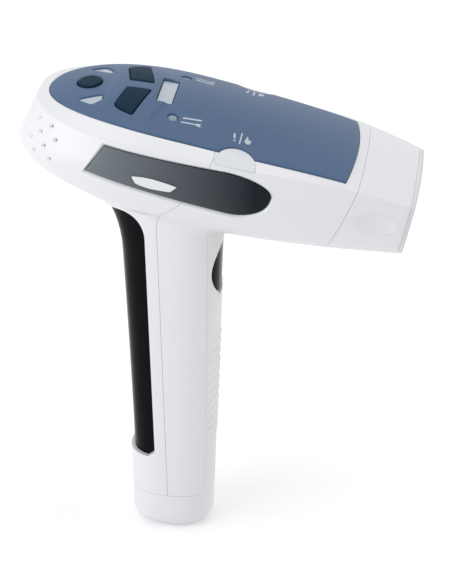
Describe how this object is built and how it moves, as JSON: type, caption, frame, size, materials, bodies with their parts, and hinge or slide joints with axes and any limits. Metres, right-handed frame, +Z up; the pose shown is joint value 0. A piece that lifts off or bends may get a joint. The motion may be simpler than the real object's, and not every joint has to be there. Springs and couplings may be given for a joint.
{
  "type": "ipl hair remover",
  "caption": "Pistol-shaped light hair remover with a slim handle, a crowned control panel, push buttons, a finger trigger and a pull-off lamp cartridge.",
  "frame": {"origin": "middle of the flat underside of the handle's base cap", "axes": "+Z up the handle, +X towards the lamp window, +Y to the left of someone looking along +X"},
  "size_m": [0.1564, 0.0792, 0.1973],
  "materials": {
    "white_gloss": "gloss",
    "panel_blue": "satin gloss",
    "button_navy": "satin",
    "lens_white": "translucent satin",
    "gloss_black": "high gloss",
    "soft_grey": "soft touch",
    "inner_black": "matte",
    "board_green": "solder mask",
    "can_blue": "sleeved",
    "steel": "plated",
    "brass": "bare",
    "mirror_sheet": "polished",
    "filter_amber": "polished",
    "lamp_quartz": "clear",
    "ceramic": "matte heat-proof"
  },
  "bodies": {
    "housing": {"back_grip": "gloss_black", "base_cap": "white_gloss", "charge_transformer": "inner_black", "control_board": "board_green", "control_panel": "panel_blue", "dc_jack": "inner_black", "fan_frame": "inner_black", "finger_grip": "soft_grey", "front_shell": "white_gloss", "housing_screw_lower": "steel", "housing_screw_upper": "steel", "indicator_lens_left": "lens_white", "indicator_lens_right": "lens_white", "lamp_socket": "inner_black", "led_lens_left": "lens_white", "led_lens_right": "lens_white", "level_switch_left": "inner_black", "level_switch_right": "inner_black", "level_window": "lens_white", "main_board": "board_green", "power_switch": "inner_black", "rear_shell": "white_gloss", "side_inlay_left": "gloss_black", "side_inlay_right": "gloss_black", "status_lens_left": "lens_white", "status_lens_right": "lens_white", "storage_capacitor": "can_blue", "trigger_pin": "steel", "trigger_switch": "inner_black"},
    "power_key": {"power_button": "button_navy"},
    "level_key_left": {"level_button_left": "button_navy"},
    "level_key_right": {"level_button_right": "button_navy"},
    "trigger": {"trigger": "gloss_black"},
    "fan": {"fan_rotor": "inner_black"},
    "cartridge": {"cartridge_housing": "white_gloss", "cartridge_bezel": "white_gloss", "filter_glass": "filter_amber", "reflector": "mirror_sheet", "flash_tube": "lamp_quartz", "lamp_holder_left": "ceramic", "lamp_holder_right": "ceramic", "contact_carrier": "inner_black", "contact_pin_left": "brass", "contact_pin_right": "brass"}
  },
  "joints": [
    {"name": "power_press", "type": "slide", "parent": "housing", "child": "power_key", "axis": [-0.2079, 0, -0.9781], "range_m": [0, 0.0006], "stiffness_N_per_m": 800},
    {"name": "level_left_press", "type": "slide", "parent": "housing", "child": "level_key_left", "axis": [-0.2079, 0, -0.9781], "range_m": [0, 0.0006], "stiffness_N_per_m": 800},
    {"name": "level_right_press", "type": "slide", "parent": "housing", "child": "level_key_right", "axis": [-0.2079, 0, -0.9781], "range_m": [0, 0.0006], "stiffness_N_per_m": 800},
    {"name": "trigger_pull", "type": "hinge", "parent": "housing", "child": "trigger", "pos_m": [0.01096, 0, 0.1377], "axis": [0, 1, 0], "range_deg": [0, 5], "stiffness_Nm_per_rad": 0.3},
    {"name": "fan_spin", "type": "hinge", "parent": "housing", "child": "fan", "pos_m": [-0.03872, 0, 0.17531], "axis": [0.9781, 0, -0.2079], "continuous": true},
    {"name": "cartridge_pull", "type": "slide", "parent": "housing", "child": "cartridge", "axis": [0.9781, 0, -0.2079], "range_m": [0, 0.03]}
  ]
}
